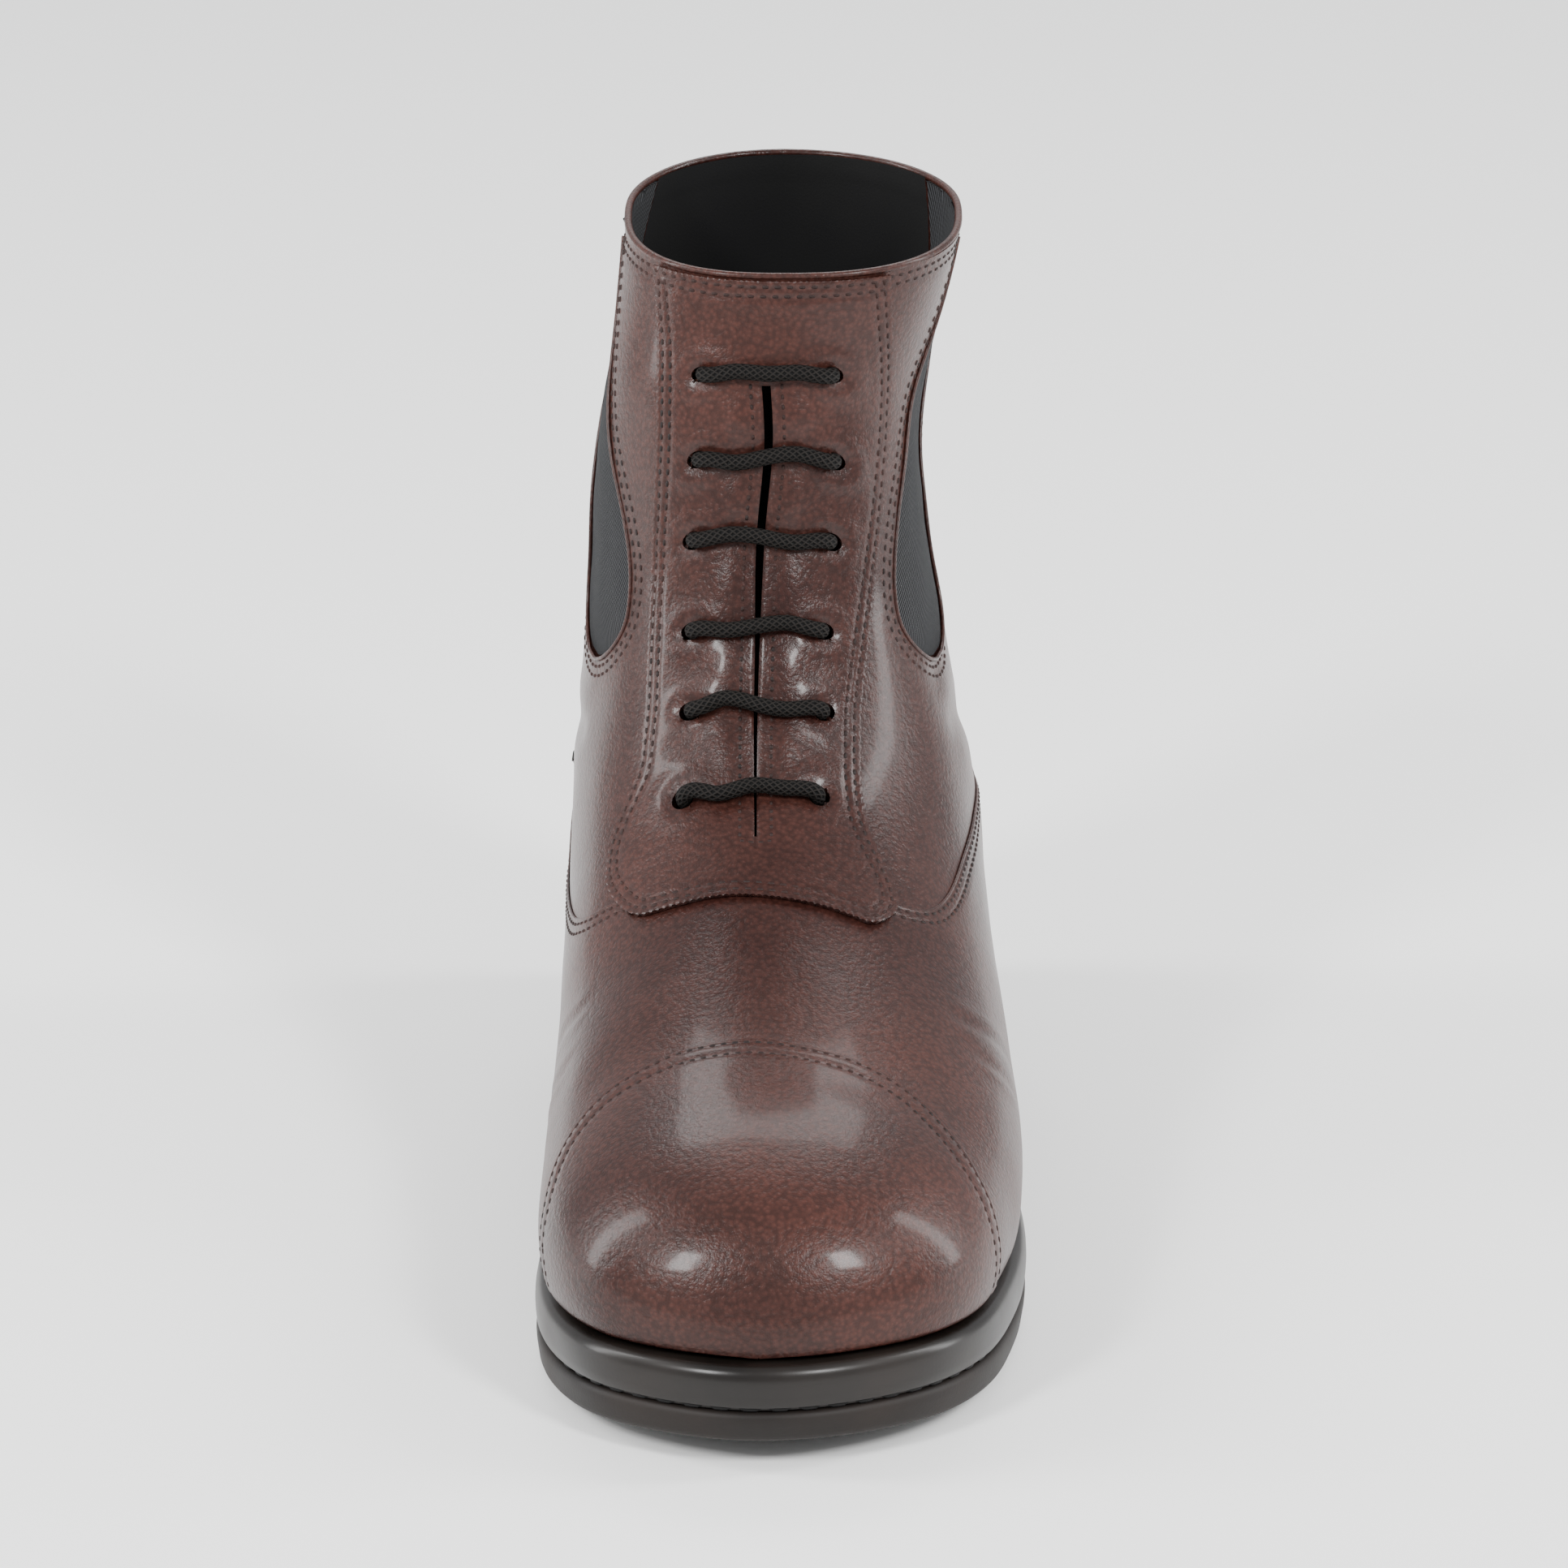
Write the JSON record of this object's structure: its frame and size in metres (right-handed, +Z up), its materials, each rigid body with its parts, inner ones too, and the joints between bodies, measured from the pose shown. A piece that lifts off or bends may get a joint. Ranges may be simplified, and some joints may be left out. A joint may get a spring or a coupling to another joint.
{
  "type": "paddock boot",
  "caption": "Brown leather lace-front paddock boot with elastic side gores, toe cap and black rubber sole, left foot",
  "frame": {"origin": "middle of the footprint, on the floor under the sole", "axes": "+Z up, -Y towards the toe, +X towards the outer side of the foot"},
  "size_m": [0.1041, 0.2854, 0.2061],
  "materials": {
    "Brown leather": "polished, fine grain",
    "Grey elastic": "ribbed elastic twill",
    "Black lining": "matte",
    "Black cord": "round braid",
    "Black rubber": "smooth satin",
    "Tread rubber": "matte",
    "Insole board": "matte"
  },
  "bodies": {
    "root": {"upper": "Brown leather", "facing": "Brown leather", "gore_lateral": "Grey elastic", "gore_medial": "Grey elastic", "tongue": "Black lining", "lace": "Black cord", "insole": "Insole board", "midsole": "Black rubber", "outsole": "Tread rubber", "heel": "Tread rubber", "spur_rest": "Black rubber"}
  },
  "joints": []
}
